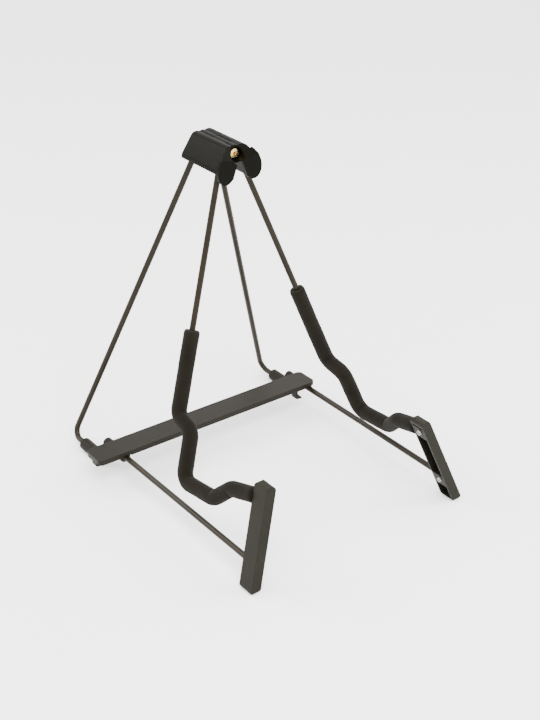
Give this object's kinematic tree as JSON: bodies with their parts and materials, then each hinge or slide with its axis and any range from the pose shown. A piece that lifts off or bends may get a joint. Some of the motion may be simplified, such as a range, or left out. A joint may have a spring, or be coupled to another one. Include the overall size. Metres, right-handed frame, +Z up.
{
  "type": "folding instrument stand",
  "caption": "Folding wire A-frame stand with foam-sleeved cradle legs, moulded foot blocks, hinged top caps and a swing-down crossbar.",
  "frame": {"origin": "middle of the footprint's box, on the floor", "axes": "+Z up, +Y towards the back, +X to the right when the stand is seen from its front"},
  "size_m": [0.2818, 0.3301, 0.3413],
  "materials": {
    "rod_paint": "semi-gloss dark olive-brown paint on steel wire",
    "foam": "matte closed-cell foam",
    "moulding": "fine-textured moulded plastic",
    "bar_moulding": "fine-textured moulded plastic",
    "rear_foot": "firm matte rubber-like moulding",
    "screw_steel": "bright zinc",
    "pin_brass": "bright brass"
  },
  "bodies": {
    "left_frame": {"front_leg_left": "rod_paint", "rear_leg_left": "rod_paint", "base_rod_left": "rod_paint", "foam_left": "foam", "foot_block_left": "moulding", "block_screws_left": "screw_steel", "rear_foot_left": "rear_foot", "cap_left": "moulding", "hinge_pin": "pin_brass", "pin_retainer": "screw_steel"},
    "right_frame": {"front_leg_right": "rod_paint", "rear_leg_right": "rod_paint", "base_rod_right": "rod_paint", "foam_right": "foam", "foot_block_right": "moulding", "block_screws_right": "screw_steel", "rear_foot_right": "rear_foot", "cap_right": "moulding"},
    "spreader": {"crossbar": "bar_moulding", "bar_hook_left": "bar_moulding", "bar_hook_right": "bar_moulding"}
  },
  "joints": [
    {"name": "frame_fold", "type": "hinge", "parent": "left_frame", "child": "right_frame", "pos_m": [0.0105, -0.0146, 0.3328], "axis": [0, 1, 0], "range_deg": [0, 35.25]},
    {"name": "crossbar_swing", "type": "hinge", "parent": "left_frame", "child": "spreader", "pos_m": [-0.1074, 0.07, 0.0247], "axis": [0, 1, 0], "range_deg": [-70.5, 0]}
  ],
  "couplings": [
    {"joint": "crossbar_swing", "follows": "frame_fold", "ratio": -2}
  ]
}
